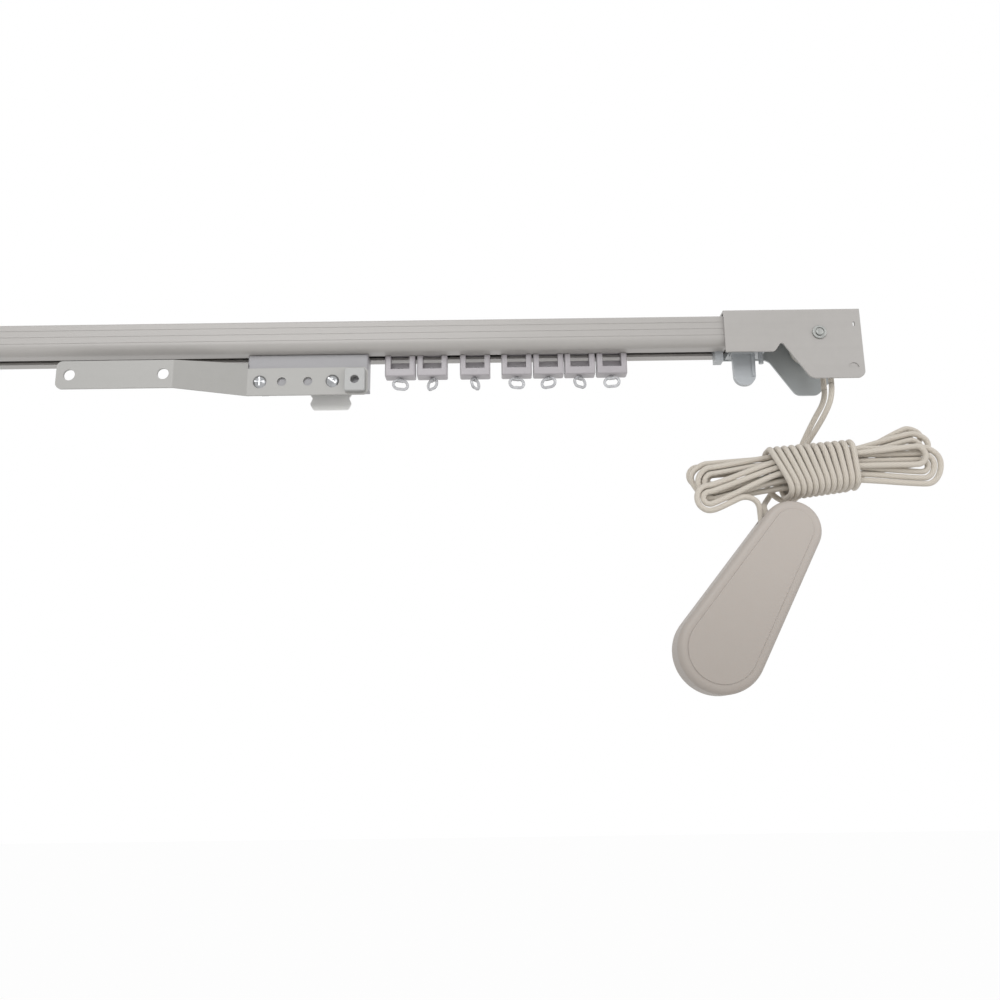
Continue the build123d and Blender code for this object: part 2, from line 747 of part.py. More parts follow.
def shell_half(side):
    """One moulded half of the weight; side 1 is the front with the screw's boss."""
    face = teardrop(weight_length, weight_top_radius, weight_bottom_radius)
    solid = extrude(face, amount=weight_half_thickness)
    solid = fillet(solid.faces().sort_by(Axis.Z)[-1].edges(), weight_rim_radius)
    pad = teardrop(weight_length, weight_top_radius - weight_face_inset,
                   weight_bottom_radius - weight_face_inset)
    pad = extrude(Pos(0, 0, weight_half_thickness - 0.2) * pad, amount=weight_face_raise + 0.2)
    solid += fillet(pad.faces().sort_by(Axis.Z)[-1].edges(), 0.4)
    hollow = teardrop(weight_length, weight_top_radius - weight_wall, weight_bottom_radius - weight_wall)
    solid -= fillet(
        extrude(Pos(0, 0, -1) * hollow, amount=weight_half_thickness - weight_wall + 1).faces()
        .sort_by(Axis.Z)[-1].edges(), 2.0)
    depth = weight_half_thickness - weight_wall
    for place, radius in ((roller_below_top, roller_pin_radius + 1.4), (weight_screw_place, weight_screw_boss)):
        low = roller_width / 2 + 0.2 if place == roller_below_top else 0
        solid += Pos(0, -place, (low + depth + 0.4) / 2) * Cylinder(radius, depth + 0.4 - low)
    solid -= Pos(0, -roller_below_top, 0) * Cylinder(roller_pin_radius, 2 * depth)
    screw_depth = 2 * (weight_half_thickness + 1) if side < 0 else 2 * (depth - 0.8)
    solid -= Pos(0, -weight_screw_place, 0) * Cylinder(weight_screw_radius, screw_depth)
    if side < 0:
        sink = Pos(0, -weight_screw_place, weight_half_thickness + weight_face_raise)
        solid -= sink * Cylinder(weight_screw_head_radius + 0.2, 2 * 1.8)
        solid = mirror(solid, about=Plane.XY)
    return weight_plane * solid - mouth()


def weight_slug():
    """The steel that gives the weight its pull, held between the shells."""
    inset = weight_wall + slide_gap
    share = slug_top / weight_length
    top_radius = weight_top_radius + share * (weight_bottom_radius - weight_top_radius) - inset
    face = teardrop(weight_length - slug_top, top_radius, weight_bottom_radius - inset, slug_top)
    solid = extrude(Pos(0, 0, -slug_half_thickness) * face, amount=2 * slug_half_thickness)
    solid = fillet(solid.edges().filter_by(GeomType.LINE, reverse=True), 0.8)
    bore = weight_screw_boss + slide_gap
    solid -= Pos(0, -weight_screw_place, 0) * Cylinder(bore, 4 * slug_half_thickness)
    room = roller_cord_radius + cord_diameter + 1.4
    solid -= Pos(0, -roller_below_top, 0) * Cylinder(room, 4 * slug_half_thickness)
    return weight_plane * solid


def weight_roller():
    wheel = pulley(roller_cord_radius, roller_width, roller_pin_radius + turn_gap)
    return weight_plane * (Pos(0, -roller_below_top, 0) * wheel)


def weight_pin():
    half = weight_half_thickness - weight_wall
    return weight_plane * (Pos(0, -roller_below_top, 0) * Cylinder(roller_pin_radius, 2 * half - 0.6))


def weight_screw():
    face = weight_half_thickness + weight_face_raise
    depth = weight_half_thickness - weight_wall - 1.4
    head_low = -(face - 0.4)
    shank_low = -(face - 1.7)
    shank = Pos(0, 0, (depth + shank_low) / 2) * Cylinder(weight_screw_radius, depth - shank_low)
    head = Pos(0, 0, (head_low + shank_low) / 2) * Cylinder(weight_screw_head_radius, shank_low - head_low)
    slot = Pos(0, 0, head_low) * (Box(3.2, 0.7, 1.4) + Box(0.7, 3.2, 1.4))
    return weight_plane * (Pos(0, -weight_screw_place, 0) * (shank + head - slot))


# Cords

report_lines = []


def tube(name, path):
    """A round cord swept along a path, with its length and volume printed."""
    wire = Wire(path.edges()) if not isinstance(path, Wire) else path
    start = Plane(origin=wire @ 0, z_dir=wire % 0)
    solid = sweep(start * Circle(cord_r), path=wire)
    expected = math.pi * cord_r ** 2 * wire.length
    print(f"{name}: length {wire.length:.1f} mm, volume {solid.volume:.1f}, section x length {expected:.1f}")
    return solid


def free_route(name, points):
    """Straight runs joined by arcs as large as the two runs of each corner allow."""
    vectors = [Vector(*p) for p in points]
    radii = []
    for before, here, after in zip(vectors, vectors[1:], vectors[2:]):
        turn = math.radians((here - before).get_angle(after - here))
        shorter = min((here - before).length, (after - here).length)
        radii.append(0.45 * shorter / math.tan(turn / 2))
    print(f"{name}: radii " + ", ".join(f"{r:.1f}" for r in radii))
    return tube(name, FilletPolyline(*vectors, radius=radii))


def draw_cord():
    """The cord inside: up over the front pulley, along, round the return pulley and back."""
    r = drive_pulley_radius
    diagonal = r * math.sqrt(0.5)
    edges = []
    for side in (-1, 1):
        y = side * cord_y
        fall = Line((cord_fall_x, y, cord_exit_z), (cord_fall_x, y, drive_z))
        over = ThreePointArc((cord_fall_x, y, drive_z), (drive_x + diagonal, y, drive_z + diagonal),
                             (drive_x, y, cord_z))
        along = Line((drive_x, y, cord_z), (return_x, y, cord_z))
        edges.append([fall, over, along])
    turn = ThreePointArc((return_x, -cord_y, cord_z), (return_x - cord_y, 0, cord_z), (return_x, cord_y, cord_z))
    ordered = edges[0] + [turn] + edges[1][::-1]
    return tube("draw_cord", Wire([e.edge() for e in ordered]))


lean = math.radians(hank_tilt)
hank_plane = Plane(
    origin=(hank_x, 0, hank_z),
    x_dir=(math.cos(lean), 0, math.sin(lean)),
    z_dir=(-math.sin(lean), 0, math.cos(lean)),
)


def hank_point(u, v, w):
    """A point given along the hank, across its depth and up, in the part's frame."""
    return tuple(hank_plane.from_local_coords(Vector(u, v, w)))


def run_height(k, top):
    """Height of the k-th top or bottom run at its fold, on a steady spiral."""
    return hank_fold_radius + (k + (-0.25 if top else 0.25)) * fold_pitch


most_loops = max(hank_layer_loops)
fold_u = hank_reach - cord_r - run_height(most_loops - 1, False)


def layer_y(layer):
    """Layers are counted from the rear to the front."""
    return ((len(hank_layer_loops) - 1) / 2 - layer) * strand_pitch


def hank_folds():
    """The folds in the order the cord makes them: side, layer, bottom loop and top loop."""
    folds = []
    for layer, loops in enumerate(hank_layer_loops):
        if layer % 2 == 0:
            for k in range(loops - 1, -1, -1):
                folds.append((1, layer, k, k))
                if k > 0:
                    folds.append((-1, layer, k - 1, k))
        else:
            for k in range(loops):
                folds.append((-1, layer, k, k))
                if k < loops - 1:
                    folds.append((1, layer, k, k + 1))
    return folds


def fold_end(fold, top):
    """Where a fold's half turn meets its top or its bottom run."""
    side, layer, low, high = fold
    draw = (fold_draw_right if side > 0 else fold_draw_left)[layer]
    rise = (fold_rise_right if side > 0 else fold_rise_left)[layer]
    height = run_height(high, True) if top else -run_height(low, False)
    return (side * (fold_u - draw), layer_y(layer), height + rise)


def waist_height(fold, top):
    side, layer, low, high = fold
    return (high + 0.25) * waist_pitch if top else -(low + 0.75) * waist_pitch


def half_run(fold, top):
    """Points from a fold's end to the waist's edge on its side."""
    u, y, w = fold_end(fold, top)
    side = fold[0]
    return [(u, y, w), (u - side * fold_straight, y, w), (side * waist_half, y, waist_height(fold, top))]


def point_on(run, u):
    """The point of a half run's slope at a place along the hank."""
    (u0, y, w0), (u1, _, w1) = run[1], run[2]
    return (u, y, w0 + (w1 - w0) * (u - u0) / (u1 - u0))


hank_turns = hank_folds()
start_run = half_run(hank_turns[0], False)
end_run = half_run(hank_turns[-1], False)


def hank_route():
    """Edges of the one cord that makes all loops, from the rear layer's lowest run to the front's."""
    edges = []

    def add_run(points):
        radii = [bend_radius] * (len(points) - 2)
        edges.extend(FilletPolyline(*points, radius=radii).edges())

    add_run([point_on(start_run, start_u)] + start_run[1::-1])
    for fold, after in zip(hank_turns, hank_turns[1:] + [None]):
        top = fold[0] > 0
        u, y, w_in = fold_end(fold, not top)
        w_out = fold_end(fold, top)[2]
        middle = (u + fold[0] * abs(w_out - w_in) / 2, y, (w_in + w_out) / 2)
        edges.append(ThreePointArc((u, y, w_in), middle, (u, y, w_out)).edge())
        leaving = half_run(fold, top)
        if after is None:
            add_run(leaving[:2] + [point_on(leaving, end_u)])
            continue
        arriving = half_run(after, top)[::-1]
        climb = []
        if fold[1] != after[1]:
            w = waist_height(fold, top)
            reach = fold[0] * (waist_half - 6.5)
            climb = [(reach, y, w), (-reach, arriving[0][1], w)]
        add_run(leaving + climb + arriving)
    return Wire(edges)


def wrap_top(turn):
    return wrap_top_start + turn * wrap_top_pitch


def wrap_low(turn):
    return wrap_low_start + turn * strand_pitch


waist_centre = -waist_pitch / 4
wrap_half_v = (len(hank_layer_loops) / 2 - 0.5) * strand_pitch + cord_diameter + strand_gap
wrap_high = (most_loops - 0.5) * waist_pitch + cord_diameter + strand_gap + waist_centre
wrap_start_w = wrap_high - wrap_corner_radius - cord_diameter - 0.4


def wrap_route():
    """Turns round the hank's waist, from the rear at the left to the hank's own start."""
    half_v = wrap_half_v
    low_w = 2 * waist_centre - wrap_high
    points = [(wrap_top(0), half_v, wrap_start_w)]
    for turn in range(waist_turns):
        sag = wrap_sag * (1 - turn / (waist_turns - 1))
        points += [
            (wrap_top(turn), half_v, wrap_high),
            (wrap_top(turn), -half_v, wrap_high),
            (wrap_low(turn), -half_v, low_w - sag),
        ]
        if turn < waist_turns - 1:
            points.append((wrap_low(turn), half_v, low_w - sag))
    ahead = 5.0
    points.append((points[-1][0] + 0.4, layer_y(0), low_w))
    points.append(point_on(start_run, start_u - ahead))
    points.append(point_on(start_run, start_u))
    radii = [wrap_corner_radius] * (len(points) - 4) + [4.6, 4.6]
    return Wire(FilletPolyline(*points, radius=radii).edges())


def least_gap(wire, name):
    """Least free space between two parts of one cord, on points a millimetre apart."""
    import numpy
    count = int(wire.length / 1.0)
    points = numpy.array([tuple(wire @ (i / count)) for i in range(count + 1)])
    step = wire.length / count
    apart = int(3.2 * cord_diameter / step)
    least = 1e9
    for i in range(count + 1 - apart):
        distance = numpy.linalg.norm(points[i + apart:] - points[i], axis=1).min()
        least = min(least, float(distance))
    print(f"{name}: {count + 1} points, least gap to itself {least - cord_diameter:.2f} mm")


def wound(name, wire):
    least_gap(wire, name)
    return hank_plane * tube(name, wire)


def cord_a_drop_points():
    """From the front pulley down behind the hank, and up again into the wrap's start."""
    u0 = wrap_top(0)
    half_v = wrap_half_v
    behind = half_v + cord_diameter + 0.4
    r = (fall_a_place - u0) / 2
    middle = (fall_a_place + u0) / 2
    last = wrap_start_w - 4.0
    foot = last - 10.8
    centre = foot + r * math.tan(math.pi / 6)
    return [
        (cord_fall_x, -cord_y, cord_exit_z),
        (cord_fall_x, -cord_y, cord_exit_z - straight_fall),
        (cord_fall_x - 4.0, 1.0, cord_exit_z - straight_fall - 11.5),
        hank_point(fall_a_place, behind, 11.5),
        hank_point(fall_a_place, behind, foot),
        hank_point(middle, behind, centre - r / math.cos(math.pi / 6)),
        hank_point(u0, behind, foot),
        hank_point(u0, half_v, last),
        hank_point(u0, half_v, wrap_start_w),
    ]


def cord_b_points():
    """From the rear pulley down behind the hank and straight into the weight's mouth."""
    x, z = roller_centre()
    spread = cord_r + 0.2
    return [
        (cord_fall_x, cord_y, cord_exit_z),
        (cord_fall_x, cord_y, cord_exit_z - straight_fall),
        (cord_fall_x - 5.6, 10.5, cord_exit_z - straight_fall - 10.5),
        (272.6, 16.4, -62.0),
        (263.0, 16.8, -78.5),
        (252.8, 16.2, -90.2),
        (x + spread + 0.2, 4.6, -94.8),
        (x + spread, weight_y, -101.0),
        (x + spread, weight_y, mouth_join_z),
    ]


def cord_a_tail_points():
    """From the hank's last run down into the weight's mouth."""
    x, z = roller_centre()
    spread = cord_r + 0.2
    y = layer_y(len(hank_layer_loops) - 1)
    start = Vector(*hank_point(*point_on(end_run, end_u)))
    ahead = Vector(*hank_point(*point_on(end_run, end_u + 7.0)))
    return [
        tuple(start),
        tuple(ahead),
        (x - spread - 1.2, y + 0.3, ahead.Z - 2.9),
        (x - spread, weight_y, mouth_join_z + 6.0),
        (x - spread, weight_y, mouth_join_z),
    ]


def cord_in_weight():
    """The end of the loop, round the roller inside the weight."""
    x, z = roller_centre()
    spread = cord_r + 0.2
    r = roller_cord_radius
    reach = mouth_join_z - z
    bend = mouth_join_z - 3.2
    below = z
    left = Vector(x - spread, weight_y, bend)
    distance = math.hypot(spread, bend - z)
    angle = math.atan2(bend - z, -spread)
    touch = angle + math.acos(r / distance)
    tx, tz = x + r * math.cos(touch), z + r * math.sin(touch)
    ux, uz = 2 * x - tx, tz
    down = FilletPolyline((x - spread, weight_y, mouth_join_z), tuple(left), (tx, weight_y, tz), radius=[6.0])
    around = ThreePointArc((tx, weight_y, tz), (x, weight_y, z - r), (ux, weight_y, uz))
    up = FilletPolyline((ux, weight_y, uz), (x + spread, weight_y, bend), (x + spread, weight_y, mouth_join_z),
                        radius=[6.0])
    return tube("cord_in_weight", Wire(down.edges() + around.edges() + up.edges()))


def build():
    os.makedirs("parts", exist_ok=True)
    write("rail", rail())
    write("drive_cover", drive_cover())
    write("drive_back_plate", drive_back_plate())
    write("drive_axle", drive_axle())
    write("pulley_washers", *pulley_washers())
    write("drive_pulley_front", drive_pulley(-1))
    write("drive_pulley_rear", drive_pulley(1))
    write("idler_cover", idler_cover())
    write("idler_back_plate", idler_back_plate())
    write("idler_axle", idler_axle())
    write("idler_pulley", idler_pulley())
    write("end_hook_tab", end_hook_tab())
    write("idler_block", mirrored(end_block()))
    write("housing_screws", housing_screw(-1), housing_screw(1))
    write("end_stops", end_stop(-1), end_stop(1))
    write("carrier_block", carrier_block())
    write("cord_grip", cord_grip())
    write("overlap_arm", overlap_arm())
    write("carrier_boss", carrier_boss())
    write("lower_tab", lower_tab())
    write("carrier_screws", *carrier_screws())
    write("carrier_nuts", *carrier_nuts())
    for number, (inset, turn) in enumerate(zip(glider_insets, eye_turns), start=1):
        write(f"glider_{number}", glider(half_rail - inset))
        write(f"glider_eye_{number}", glider_eye(half_rail - inset, turn))
    write("weight_front_shell", shell_half(1))
    write("weight_rear_shell", shell_half(-1))
    write("weight_slug", weight_slug())
    write("weight_roller", weight_roller())
    write("weight_pin", weight_pin())
    write("weight_screw", weight_screw())
    write("draw_cord", draw_cord())
    write("cord_in_weight", cord_in_weight())
    write("hank_loops", wound("hank_loops", hank_route()))
    write("hank_wrap", wound("hank_wrap", wrap_route()))
    write("cord_a_drop", free_route("cord_a_drop", cord_a_drop_points()))
    write("cord_a_tail", free_route("cord_a_tail", cord_a_tail_points()))
    write("cord_b", free_route("cord_b", cord_b_points()))


build()
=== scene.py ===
# %% [markdown]
# A corded curtain track seen from below
#
# The CAD model gives this script every size and place: a white enamelled rail, the cord housing
# at its right end, a master carrier with its overlap arm, seven gliders with swivel eyes, and a
# cord weight. Here each of them gets its finish, and the cords are laid again as braided tubes.
# Everything is in metres: +X runs along the rail, +Y goes back to the wall and +Z is up.

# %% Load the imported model
import json
import math
import random

import bpy
from mathutils import Matrix, Vector
from mathutils.kdtree import KDTree


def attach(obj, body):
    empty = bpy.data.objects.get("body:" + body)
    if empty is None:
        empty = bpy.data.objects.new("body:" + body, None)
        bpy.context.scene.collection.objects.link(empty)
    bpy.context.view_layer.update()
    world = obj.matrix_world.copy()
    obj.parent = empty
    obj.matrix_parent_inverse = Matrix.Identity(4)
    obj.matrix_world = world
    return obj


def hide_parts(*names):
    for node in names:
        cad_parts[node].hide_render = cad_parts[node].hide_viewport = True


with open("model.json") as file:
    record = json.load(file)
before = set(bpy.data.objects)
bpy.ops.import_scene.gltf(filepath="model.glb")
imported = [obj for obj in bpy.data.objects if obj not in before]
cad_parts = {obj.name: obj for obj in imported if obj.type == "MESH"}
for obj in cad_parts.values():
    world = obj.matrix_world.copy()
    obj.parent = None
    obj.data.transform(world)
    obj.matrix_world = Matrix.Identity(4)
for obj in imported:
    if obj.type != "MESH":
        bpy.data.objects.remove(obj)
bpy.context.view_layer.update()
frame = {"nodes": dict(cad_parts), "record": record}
nodes = frame["nodes"]
scene = bpy.context.scene
MM = 0.001

# %% [markdown]
# The camera
#
# The photograph was taken from below the rail and to the left of its cord housing, with the lens
# tipped up. A camera can be aimed with a Track To constraint, or by its own matrix. The matrix is
# used here because it also holds the small roll that lifts the right-hand end of the rail. The
# lens is given for the default sensor of 36 mm.

# %% Aim the camera as the photograph has it
LENS_MM = 35.0
EYE = Vector((118.0, -465.5, -201.6)) * MM
PITCH = math.radians(13.4)
ROLL = 0.0135

camera_data = bpy.data.cameras.new("view_from_below")
camera_data.lens = LENS_MM
camera_data.clip_start = 0.02
camera_data.clip_end = 50.0
camera = bpy.data.objects.new("view_from_below", camera_data)
scene.collection.objects.link(camera)
camera.matrix_world = (
    Matrix.Translation(EYE)
    @ Matrix.Rotation(math.radians(90.0) + PITCH, 4, "X")
    @ Matrix.Rotation(-ROLL, 4, "Z")
)
scene.camera = camera
scene.view_settings.view_transform = "Standard"
print("camera at", tuple(round(c, 4) for c in EYE), "pitch", round(math.degrees(PITCH), 1))

# %% [markdown]
# Shader maths as Python
#
# A node tree is easier to read when its sums look like sums. Val holds one output socket, and its
# operators add Math nodes; a plain number may stand on the left of a minus. Tree adds any other node
# from its type, its settings and the values or links of its sockets. Colours go through Mix
# nodes, because a Math node would turn them grey.


# %% A socket with operators, and a tree that adds nodes
class Val:
    def __init__(self, tree, socket):
        self.tree = tree
        self.socket = socket

    def math(self, operation, *others, clamp=False):
        settings = {"operation": operation, "use_clamp": clamp}
        sockets = dict(enumerate((self, *others)))
        return self.tree.add("ShaderNodeMath", settings, sockets)

    def __add__(self, other):
        return self.math("ADD", other)

    def __sub__(self, other):
        return self.math("SUBTRACT", other)

    def __mul__(self, other):
        return self.math("MULTIPLY", other)

    def __rsub__(self, other):
        return self * -1.0 + other

    def limited(self):
        return self.math("MULTIPLY", 1.0, clamp=True)


class Tree:
    """One material's nodes, with its Principled shader ready to fill."""

    def __init__(self, name):
        self.material = bpy.data.materials.new(name)
        self.material.use_nodes = True
        self.nodes = self.material.node_tree.nodes
        self.links = self.material.node_tree.links
        self.shader = self.nodes["Principled BSDF"]

    def set_socket(self, node, key, value):
        socket = node.inputs[key]
        if isinstance(value, Val):
            self.links.new(value.socket, socket)
        else:
            socket.default_value = value

    def add(self, kind, settings=None, sockets=None, output=0):
        node = self.nodes.new(kind)
        for key, value in (settings or {}).items():
            if key == "stops":
                ramp = node.color_ramp
                while len(ramp.elements) < len(value):
                    ramp.elements.new(0.5)
                for element, (place, colour) in zip(ramp.elements, value):
                    element.position = place
                    element.color = colour
            else:
                setattr(node, key, value)
        for key, value in (sockets or {}).items():
            self.set_socket(node, key, value)
        return Val(self, node.outputs[output])

    def feed(self, **sockets):
        for key, value in sockets.items():
            self.set_socket(self.shader, key.replace("_", " "), value)

    def place(self):
        return self.add("ShaderNodeTexCoord", output="Object")

    def stretched(self, factors):
        return self.add("ShaderNodeVectorMath", {"operation": "MULTIPLY"}, {0: self.place(), 1: factors})

    def noise(self, scale, detail=2.0, roughness=0.5, vector=None):
        sockets = {"Scale": scale, "Detail": detail, "Roughness": roughness}
        sockets["Vector"] = vector or self.place()
        return self.add("ShaderNodeTexNoise", sockets=sockets)

    def mix(self, factor, colour_a, colour_b):
        settings = {"data_type": "RGBA"}
        sockets = {0: factor, 6: colour_a, 7: colour_b}
        return self.add("ShaderNodeMix", settings, sockets, output=2)

    def bump(self, height, strength, distance):
        sockets = {"Height": height, "Strength": strength, "Distance": distance}
        return self.add("ShaderNodeBump", sockets=sockets)


def shade(hex_code, alpha=1.0):
    """A colour as it is seen on a screen, turned into the linear values that shaders use."""
    values = [int(hex_code[i : i + 2], 16) / 255.0 for i in (0, 2, 4)]
    linear = [v / 12.92 if v <= 0.04045 else ((v + 0.055) / 1.055) ** 2.4 for v in values]
    return (*linear, alpha)


print("a mid grey is", [round(c, 3) for c in shade("808080")])

# %% [markdown]
# Light and floor
#
# The shop photograph has a white ground and even light, with the front faces a little brighter
# than the undersides. Two large soft lamps and the world give that. The world and the floor look
# white to the camera and in reflections, which Light Path tells apart, and they light the track
# with less than that, so that no pale surface burns out.

# %% Lamps, world and floor
WHITE = (1.0, 1.0, 1.0, 1.0)
WORLD_LIGHT = 0.62
FLOOR_Z = -0.85
FLOOR_SIZE = 12.0
FLOOR_GLOW = 0.96


def soft_lamp(name, place, target, size, watts):
    lamp = bpy.data.lights.new(name, "AREA")
    lamp.shape = "SQUARE"
    lamp.size = size
    lamp.energy = watts
    holder = bpy.data.objects.new(name, lamp)
    scene.collection.objects.link(holder)
    holder.location = place
    direction = Vector(target) - Vector(place)
    holder.rotation_euler = direction.to_track_quat("-Z", "Y").to_euler()


soft_lamp("key_lamp", (-0.35, -1.5, 0.75), (0.1, 0.0, -0.05), 1.1, 11.0)
soft_lamp("fill_lamp", (1.3, -0.9, 0.2), (0.1, 0.0, -0.05), 1.0, 4.0)


def seen_directly(tree_nodes, tree_links):
    """A socket with 1 for a camera, glossy or transmission ray, and 0 for light on the object."""
    path = tree_nodes.new("ShaderNodeLightPath")
    total = tree_nodes.new("ShaderNodeMath")
    total.operation = "MAXIMUM"
    pair = tree_nodes.new("ShaderNodeMath")
    pair.operation = "MAXIMUM"
    tree_links.new(path.outputs["Is Camera Ray"], pair.inputs[0])
    tree_links.new(path.outputs["Is Glossy Ray"], pair.inputs[1])
    tree_links.new(pair.outputs[0], total.inputs[0])
    tree_links.new(path.outputs["Is Transmission Ray"], total.inputs[1])
    return total.outputs[0]


world = bpy.data.worlds.new("studio")
scene.world = world
world.use_nodes = True
sky = world.node_tree.nodes
links = world.node_tree.links
seen = seen_directly(sky, links)
strength = sky.new("ShaderNodeMapRange")
strength.inputs["To Min"].default_value = WORLD_LIGHT
strength.inputs["To Max"].default_value = 1.0
links.new(seen, strength.inputs["Value"])
sky["Background"].inputs["Color"].default_value = WHITE
links.new(strength.outputs[0], sky["Background"].inputs["Strength"])

floor_mesh = bpy.data.meshes.new("floor")
half = FLOOR_SIZE / 2
corners = [(x * half, y * half, FLOOR_Z) for x, y in ((-1, -1), (1, -1), (1, 1), (-1, 1))]
floor_mesh.from_pydata(corners, [], [(0, 1, 2, 3)])
floor = bpy.data.objects.new("floor", floor_mesh)
scene.collection.objects.link(floor)

floor_paint = Tree("floor_paint")
floor_paint.feed(Base_Color=shade("F2F1EF"), Roughness=0.9)
floor_links = floor_paint.links
floor_share = Val(floor_paint, seen_directly(floor_paint.nodes, floor_links)) * FLOOR_GLOW
glow = floor_paint.nodes.new("ShaderNodeEmission")
glow.inputs["Color"].default_value = WHITE
mixer = floor_paint.nodes.new("ShaderNodeMixShader")
floor_links.new(floor_share.socket, mixer.inputs[0])
floor_links.new(floor_paint.shader.outputs[0], mixer.inputs[1])
floor_links.new(glow.outputs[0], mixer.inputs[2])
floor_links.new(mixer.outputs[0], floor_paint.nodes["Material Output"].inputs["Surface"])
floor_mesh.materials.append(floor_paint.material)
print("floor at", FLOOR_Z)

# %% [markdown]
# White enamel
#
# The rail and both housings are steel under a stoved white enamel. Up close it has a faint orange
# peel and a slow drift of tone where the coat is thinner. The peel could be a displaced mesh, but
# it is far finer than the mesh, so a Bump node carries it. Two noises of different scale drive
# tone and gloss, and a third one, stretched along the rail, gives the rolled section its faint
# lengthwise streaks.


# %% Enamel for the rail, its housings and the bent arm
def enamel(name, light, dark, streak=0.0):
    tree = Tree(name)
    drift = tree.noise(9.0, detail=3.0)
    fine = tree.noise(240.0, detail=2.0)
    peel = tree.noise(1500.0, detail=1.0)
    along = tree.stretched((6.0, 420.0, 420.0))
    streaks = tree.noise(1.0, detail=2.0, vector=along)
    tone = (drift * 0.6 + fine * 0.25 + streaks * (0.15 + streak) - 0.2).limited()
    tree.feed(
        Base_Color=tree.mix(tone, shade(dark), shade(light)),
        Roughness=drift * 0.14 + fine * 0.08 + 0.26,
        Normal=tree.bump(peel * 0.7 + fine * 0.3, 0.12, 0.0002),
    )
    tree.shader.inputs["Coat Weight"].default_value = 0.15
    tree.shader.inputs["Coat Roughness"].default_value = 0.2
    return tree.material


white_enamel = enamel("white_enamel", "B9B6B3", "AAA7A4", streak=0.15)
arm_enamel = enamel("arm_enamel", "B0AFAC", "A2A19E")
# Painted light: the lower tab sits in the carrier's shade, and this much lighter copy of the enamel lifts
# it.
tab_enamel_painted_light = enamel("tab_enamel_painted_light", "F2F2F0", "E9E9E7")
# Painted light and shade: the back plate is the same white enamel; this copy is lighter, to lift it in the
# housing's shade, and bluer, for that shade's cool cast.
box_enamel_painted_light_and_shade = enamel("box_enamel_painted_light_and_shade", "C6CBCD", "B6BBBD")
print("enamels", white_enamel.name, arm_enamel.name, tab_enamel_painted_light.name)

# %% [markdown]
# Moulded nylon and acetal
#
# Gliders, carrier and pulleys are moulded. Nylon lets a little light in, which softens its
# shadows, so the shader has some subsurface scattering. The moulding's slight waviness is a large,
# weak bump. The tongue at the rail's end is the same plastic, and its cooler, bluer tint is painted
# shade, the cool cast of the shade under the housing.


# %% Nylons
def nylon(name, light, dark, roughness=0.32, scatter=0.15, radius=0.0015):
    tree = Tree(name)
    cloud = tree.noise(60.0, detail=3.0)
    grain = tree.noise(1100.0, detail=2.0)
    tree.feed(
        Base_Color=tree.mix((cloud * 0.8 + grain * 0.2).limited(), shade(dark), shade(light)),
        Roughness=cloud * 0.12 + grain * 0.06 + (roughness - 0.09),
        Normal=tree.bump(cloud * 0.6 + grain * 0.4, 0.1, 0.0003),
    )
    tree.shader.inputs["Subsurface Weight"].default_value = scatter
    tree.shader.inputs["Subsurface Radius"].default_value = (radius, radius, radius)
    tree.shader.inputs["Subsurface Scale"].default_value = 1.0
    return tree.material


glider_nylon = nylon("glider_nylon", "B9B5B8", "A8A4A8")
carrier_nylon = nylon("carrier_nylon", "A2A1A4", "959497")
boss_nylon = nylon("boss_nylon", "B6B6B5", "A8A9A8")
# Painted shade: the tongue is the same nylon, and this cooler, bluer tint stands for the shade it hangs in.
grey_nylon = nylon("grey_nylon", "BDC1C4", "ABAFB3", roughness=0.3)
pulley_nylon = nylon("pulley_nylon", "D8D6CF", "C9C6BE")
print("nylons", glider_nylon.name, carrier_nylon.name, grey_nylon.name)

# %% [markdown]
# Clear eyes
#
# Each glider's swivel eye is a clear plastic that shows as glints and a grey edge. Full glass
# would vanish on a white ground, so seven tenths of the light goes through and the rest meets a
# cool white body.


# %% Clear plastic
def clear_plastic(name, light, dark):
    tree = Tree(name)
    swirl = tree.noise(420.0, detail=2.0)
    tree.feed(
        Base_Color=tree.mix(swirl, shade(dark), shade(light)),
        Roughness=swirl * 0.1 + 0.08,
        Normal=tree.bump(swirl, 0.15, 0.0002),
    )
    tree.shader.inputs["Transmission Weight"].default_value = 0.7
    tree.shader.inputs["IOR"].default_value = 1.49
    return tree.material


clear_eye = clear_plastic("clear_eye", "E4E4E6", "B4B5B8")
print("clear plastic", clear_eye.name)

# %% [markdown]
# Plated steel
#
# Screws are bright chrome, and rivets and washers are zinc. Both are metals, so the colour tints
# the reflection. Handling leaves hair scratches and duller patches, which are noise in the
# roughness and a very weak bump.


# %% Chrome, zinc and the slug's bare steel
def plated(name, light, dark, roughness, wear):
    tree = Tree(name)
    patch = tree.noise(300.0, detail=3.0)
    along = tree.stretched((4000.0, 900.0, 500.0))
    hair = tree.noise(1.0, detail=2.0, vector=along)
    tree.feed(
        Base_Color=tree.mix((patch * 0.7 + hair * 0.3).limited(), shade(dark), shade(light)),
        Roughness=patch * wear + hair * 0.08 + roughness,
        Normal=tree.bump(hair, 0.06, 0.0001),
        Metallic=1.0,
    )
    return tree.material


chrome = plated("chrome", "D4D5D6", "6A6C70", 0.08, 0.12)
zinc = plated("zinc", "BFC0BD", "7B7D7B", 0.2, 0.25)
slug_steel = plated("slug_steel", "6F7072", "4E4E50", 0.4, 0.3)
print("metals", chrome.name, zinc.name, slug_steel.name)

# %% [markdown]
# The cord weight's shell
#
# The weight is a satin off-white moulding, slightly warmer than the rail. Its surface has a fine
# spark-eroded grain, and a slow mottle where the plastic flowed. A map of the height paints it darker
# towards its lower end and lighter towards its top: painted shade and painted light.


# %% Satin shell
# The heights over which the shell's painted shade, darker at its lower end, fades into painted light at its
# top.
WEIGHT_LOW, WEIGHT_HIGH = -0.185, -0.105


